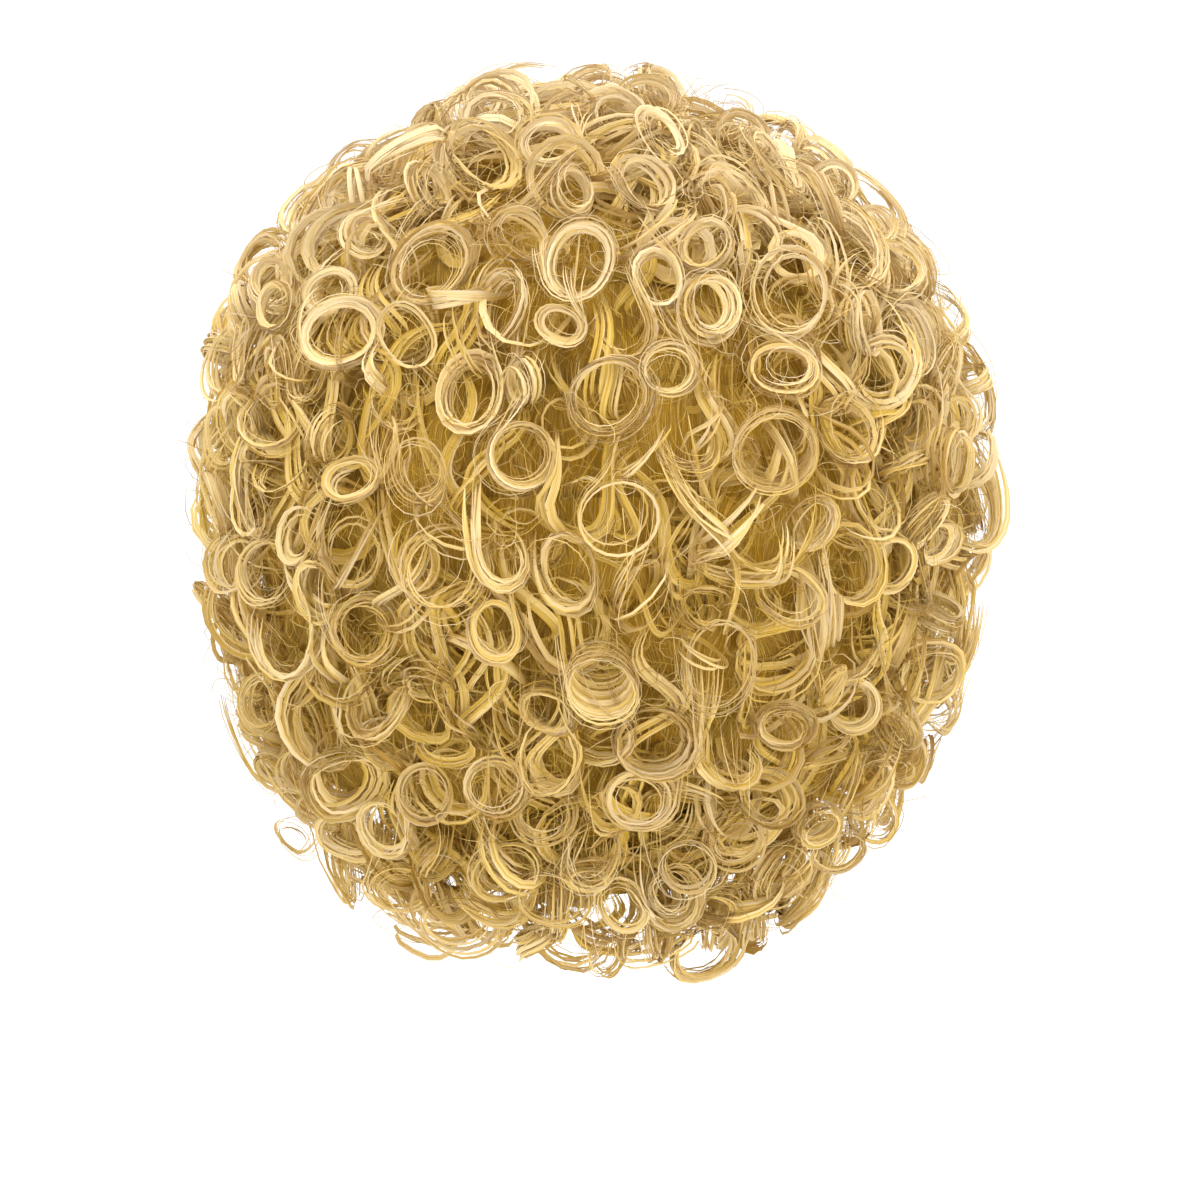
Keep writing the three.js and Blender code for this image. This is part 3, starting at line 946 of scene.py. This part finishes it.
def new_material(name):
    material = bpy.data.materials.new(name)
    material.use_nodes = True
    tree = material.node_tree
    return material, tree, tree.nodes["Principled BSDF"]


def srgb(red, green, blue):
    """A colour given as on a screen, from 0 to 255, as the shader needs it."""
    share = np.array([red, green, blue]) / 255
    linear = np.where(share <= 0.04045, share / 12.92, ((share + 0.055) / 1.055) ** 2.4)
    return (*linear.tolist(), 1.0)


HAIR_DARK = srgb(192, 157, 68)
HAIR_GOLD = srgb(221, 192, 122)
HAIR_PALE = srgb(228, 206, 164)
# Painted shade: a deeper golden that strands are mixed towards further under the outside of the hair
HAIR_PAINTED_SHADE = srgb(209, 169, 46)
HAIR_INNER = srgb(190, 160, 104)
# Painted shade: the dark golden of the bed between the frizz, which stands for hair deep in shadow
BED_PAINTED_SHADE = srgb(184, 138, 27)
BED_LIGHT = srgb(224, 183, 92)
NET_BEIGE = srgb(214, 190, 152)
NET_DARK = srgb(150, 120, 82)
FLOOR_WHITE = srgb(255, 255, 255)
HAIR_GLOSS = srgb(255, 240, 212)

# Streaks along the strands, the depths of the painted golden shade and of the change of colour inside,
# frizz drawn on the bed, threads of the net and the tape of its edge. A bump has a strength and a height in
# metres.
STREAK_STRETCH = (1.9, 0.02, 1.0)
STREAK_RANGE = (0.38, 0.62)
STREAK_SWING = (-0.42, 0.3)
STREAK_ROUGHNESS = (0.38, 0.52)
STREAK_BUMP = (0.5, 0.0008)
STRAND_SPECULAR = 0.12
PAINTED_SHADE_DEPTHS = (2.5, 18.0)
PAINTED_SHADE_SHARES = (0.0, 0.62)
INNER_DEPTHS = (24.0, 34.0)
INNER_SHARES = (0.0, 0.75)
FRIZZ_SWIRL = 0.035
FRIZZ_BEND = (22.0, 22.0, 0.0)
FRIZZ_SLANTS = (20, -50, 80)
FRIZZ_STRETCH = (2.0, 0.06, 1.0)
FRIZZ_SHIFT = (37.0, 0.0, 11.0)
FRIZZ_RANGE = (0.5, 0.68)
FRIZZ_BUMP = (0.8, 0.001)
BED_ROUGHNESS = 0.6
BED_SPECULAR = 0.05
NET_SLANT = 45
NET_SCALE = 0.16
NET_RANGE = (0.6, 0.9)
NET_BUMP = (0.8, 0.0008)
NET_ROUGHNESS = 0.75
TAPE_SCALE = 1.1
TAPE_DETAIL = 3.0
TAPE_BUMP = (0.6, 0.0006)
TAPE_ROUGHNESS = 0.8


def ramp(tree, x, y, stops):
    made = node(tree, "ShaderNodeValToRGB", x, y)
    elements = made.color_ramp.elements
    while len(elements) < len(stops):
        elements.new(0.5)
    for element, (position, colour) in zip(elements, stops):
        element.position = position
        element.color = colour
    return made


def rescale(tree, x, y, source, low, high):
    """A node that takes a range of a source's values to another."""
    made = node(tree, "ShaderNodeMapRange", x, y)
    made.inputs["From Min"].default_value = low[0]
    made.inputs["From Max"].default_value = low[1]
    made.inputs["To Min"].default_value = high[0]
    made.inputs["To Max"].default_value = high[1]
    tree.links.new(source, made.inputs["Value"])
    return made.outputs["Result"]


def bumped(tree, shader, source, strength, distance):
    bump = node(tree, "ShaderNodeBump", -250, -400)
    bump.inputs["Strength"].default_value = strength
    bump.inputs["Distance"].default_value = distance
    tree.links.new(source, bump.inputs["Height"])
    tree.links.new(bump.outputs["Normal"], shader.inputs["Normal"])


def inner_tint(tree, colour, depth):
    """The colour, less golden on the inside of the wig."""
    mix = node(tree, "ShaderNodeMix", -100, 300, data_type="RGBA")
    mix.inputs["B"].default_value = HAIR_INNER
    inside = rescale(tree, -300, 500, depth.outputs["Fac"], INNER_DEPTHS, INNER_SHARES)
    tree.links.new(inside, mix.inputs["Factor"])
    tree.links.new(colour, mix.inputs["A"])
    return mix.outputs["Result"]


def strand_material():
    """Golden hair: bands of fine streaks, paler or darker by strand, with painted light at the crown, and
    painted shade in deeper layers and further under the outside of the hair.
    """
    material, tree, shader = new_material("hair_strands")
    link = tree.links.new
    tone = node(tree, "ShaderNodeAttribute", -1400, 300, attribute_name="tone")
    depth = node(tree, "ShaderNodeAttribute", -1400, 0, attribute_name="depth")
    lay = node(tree, "ShaderNodeAttribute", -1400, -300, attribute_name="lay")
    stretch = node(tree, "ShaderNodeMapping", -1200, -300)
    stretch.inputs["Scale"].default_value = STREAK_STRETCH
    link(lay.outputs["Vector"], stretch.inputs["Vector"])
    streak = node(tree, "ShaderNodeTexNoise", -1000, -300)
    streak.inputs["Scale"].default_value = 1.0
    streak.inputs["Detail"].default_value = 2.0
    link(stretch.outputs["Vector"], streak.inputs["Vector"])
    swing = rescale(tree, -800, -100, streak.outputs["Fac"], STREAK_RANGE, STREAK_SWING)
    shade = node(tree, "ShaderNodeMath", -600, 200, operation="ADD")
    link(tone.outputs["Fac"], shade.inputs[0])
    link(swing, shade.inputs[1])
    colours = ramp(tree, -450, 300, [(0.08, HAIR_DARK), (0.5, HAIR_GOLD), (0.92, HAIR_PALE)])
    link(shade.outputs["Value"], colours.inputs["Fac"])
    # painted shade: strands deeper under the outside of the hair turn a darker golden
    sunk = rescale(tree, -800, 0, depth.outputs["Fac"], PAINTED_SHADE_DEPTHS, PAINTED_SHADE_SHARES)
    mix = node(tree, "ShaderNodeMix", -200, 200, data_type="RGBA")
    mix.inputs["B"].default_value = HAIR_PAINTED_SHADE
    link(sunk, mix.inputs["Factor"])
    link(colours.outputs["Color"], mix.inputs["A"])
    link(inner_tint(tree, mix.outputs["Result"], depth), shader.inputs["Base Color"])
    roughness = rescale(tree, -500, -200, streak.outputs["Fac"], (0.2, 0.8), STREAK_ROUGHNESS)
    link(roughness, shader.inputs["Roughness"])
    bumped(tree, shader, streak.outputs["Fac"], *STREAK_BUMP)
    shader.inputs["Specular IOR Level"].default_value = STRAND_SPECULAR
    shader.inputs["Specular Tint"].default_value = HAIR_GLOSS
    return material


def bed_material():
    """Frizz: fine crossing hairs over a painted shade between them."""
    material, tree, shader = new_material("hair_bed")
    link = tree.links.new
    lay = node(tree, "ShaderNodeAttribute", -2000, 0, attribute_name="lay")
    swirl = node(tree, "ShaderNodeTexNoise", -1800, -200)
    swirl.inputs["Scale"].default_value = FRIZZ_SWIRL
    swirl.inputs["Detail"].default_value = 0.0
    link(lay.outputs["Vector"], swirl.inputs["Vector"])
    bent = node(tree, "ShaderNodeVectorMath", -1600, 0, operation="MULTIPLY_ADD")
    bent.inputs[1].default_value = FRIZZ_BEND
    link(swirl.outputs["Color"], bent.inputs[0])
    link(lay.outputs["Vector"], bent.inputs[2])
    lines = []
    for index, slant in enumerate(FRIZZ_SLANTS):
        y = 300 - 300 * index
        spun = node(tree, "ShaderNodeMapping", -1350, y)
        spun.inputs["Location"].default_value = [shift * index for shift in FRIZZ_SHIFT]
        spun.inputs["Rotation"].default_value = (0.0, 0.0, math.radians(slant))
        spun.inputs["Scale"].default_value = FRIZZ_STRETCH
        link(bent.outputs["Vector"], spun.inputs["Vector"])
        strands = node(tree, "ShaderNodeTexNoise", -1100, y)
        strands.inputs["Scale"].default_value = 1.0
        strands.inputs["Detail"].default_value = 1.0
        link(spun.outputs["Vector"], strands.inputs["Vector"])
        lines.append(rescale(tree, -850, y, strands.outputs["Fac"], FRIZZ_RANGE, (0.0, 1.0)))
    top = lines[0]
    for index, line in enumerate(lines[1:]):
        most = node(tree, "ShaderNodeMath", -600, 200 - 250 * index, operation="MAXIMUM")
        link(top, most.inputs[0])
        link(line, most.inputs[1])
        top = most.outputs["Value"]
    colours = ramp(tree, -350, 200, [(0.0, BED_PAINTED_SHADE), (1.0, BED_LIGHT)])
    link(top, colours.inputs["Fac"])
    depth = node(tree, "ShaderNodeAttribute", -600, 500, attribute_name="depth")
    link(inner_tint(tree, colours.outputs["Color"], depth), shader.inputs["Base Color"])
    bumped(tree, shader, top, *FRIZZ_BUMP)
    shader.inputs["Roughness"].default_value = BED_ROUGHNESS
    shader.inputs["Specular IOR Level"].default_value = BED_SPECULAR
    return material


def net_material():
    """A net of crossing threads."""
    material, tree, shader = new_material("cap_net")
    link = tree.links.new
    lay = node(tree, "ShaderNodeAttribute", -1400, 0, attribute_name="lay")
    spun = node(tree, "ShaderNodeMapping", -1200, 0)
    spun.inputs["Rotation"].default_value = (0.0, 0.0, math.radians(NET_SLANT))
    link(lay.outputs["Vector"], spun.inputs["Vector"])
    threads = []
    for index, way in enumerate(("X", "Y")):
        y = 150 - 300 * index
        wave = node(tree, "ShaderNodeTexWave", -1000, y, bands_direction=way)
        wave.inputs["Scale"].default_value = NET_SCALE
        link(spun.outputs["Vector"], wave.inputs["Vector"])
        threads.append(rescale(tree, -800, y, wave.outputs["Fac"], NET_RANGE, (0.0, 1.0)))
    most = node(tree, "ShaderNodeMath", -600, 0, operation="MAXIMUM")
    link(threads[0], most.inputs[0])
    link(threads[1], most.inputs[1])
    colours = ramp(tree, -400, 100, [(0.0, NET_DARK), (1.0, NET_BEIGE)])
    link(most.outputs["Value"], colours.inputs["Fac"])
    link(colours.outputs["Color"], shader.inputs["Base Color"])
    bumped(tree, shader, most.outputs["Value"], *NET_BUMP)
    shader.inputs["Roughness"].default_value = NET_ROUGHNESS
    return material


def edge_material():
    """A woven tape."""
    material, tree, shader = new_material("cap_edge")
    link = tree.links.new
    lay = node(tree, "ShaderNodeAttribute", -1200, 0, attribute_name="lay")
    weave = node(tree, "ShaderNodeTexNoise", -900, 0)
    weave.inputs["Scale"].default_value = TAPE_SCALE
    weave.inputs["Detail"].default_value = TAPE_DETAIL
    link(lay.outputs["Vector"], weave.inputs["Vector"])
    colours = ramp(tree, -500, 100, [(0.3, NET_DARK), (0.7, NET_BEIGE)])
    link(weave.outputs["Fac"], colours.inputs["Fac"])
    link(colours.outputs["Color"], shader.inputs["Base Color"])
    bumped(tree, shader, weave.outputs["Fac"], *TAPE_BUMP)
    shader.inputs["Roughness"].default_value = TAPE_ROUGHNESS
    return material


def make_floor():
    bpy.ops.mesh.primitive_plane_add(size=FLOOR_SIZE, location=(0, 0, FLOOR_LEVEL * MM))
    floor = bpy.context.object
    floor.name = "floor"
    material, _, shader = new_material("floor_white")
    shader.inputs["Base Color"].default_value = FLOOR_WHITE
    shader.inputs["Roughness"].default_value = 1.0
    floor.data.materials.append(material)


def area_light(lamp):
    data = bpy.data.lights.new(lamp.name, "AREA")
    data.size = lamp.size
    data.energy = lamp.power
    light = bpy.data.objects.new(lamp.name, data)
    light.location = lamp.spot
    light.rotation_mode = "QUATERNION"
    light.rotation_quaternion = (Vector(LAMPS_FACE) - Vector(lamp.spot)).to_track_quat("-Z", "Y")
    bpy.context.scene.collection.objects.link(light)


def make_light():
    world = bpy.data.worlds.new("studio")
    world.use_nodes = True
    background = world.node_tree.nodes["Background"]
    background.inputs["Color"].default_value = (1.0, 1.0, 1.0, 1.0)
    background.inputs["Strength"].default_value = WORLD_STRENGTH
    scene = bpy.context.scene
    scene.world = world
    for lamp in LAMPS:
        area_light(lamp)
    scene.view_settings.view_transform = "Standard"
    scene.view_settings.look = "None"


def make_camera():
    eye, ahead, _, _ = camera_axes()
    data = bpy.data.cameras.new("camera")
    data.sensor_width = SENSOR
    data.lens = SENSOR * CAMERA_DISTANCE / (FRAME_PIXELS * PIXEL)
    data.clip_end = CLIP_END
    camera = bpy.data.objects.new("camera", data)
    camera.location = Vector(eye * MM)
    camera.rotation_mode = "QUATERNION"
    camera.rotation_quaternion = Vector(ahead).to_track_quat("-Z", "Y")
    bpy.context.scene.collection.objects.link(camera)
    bpy.context.scene.camera = camera


for leftover in list(bpy.data.objects):
    bpy.data.objects.remove(leftover)
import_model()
make_camera()
make_light()
make_floor()
make_hair()
make_cap()
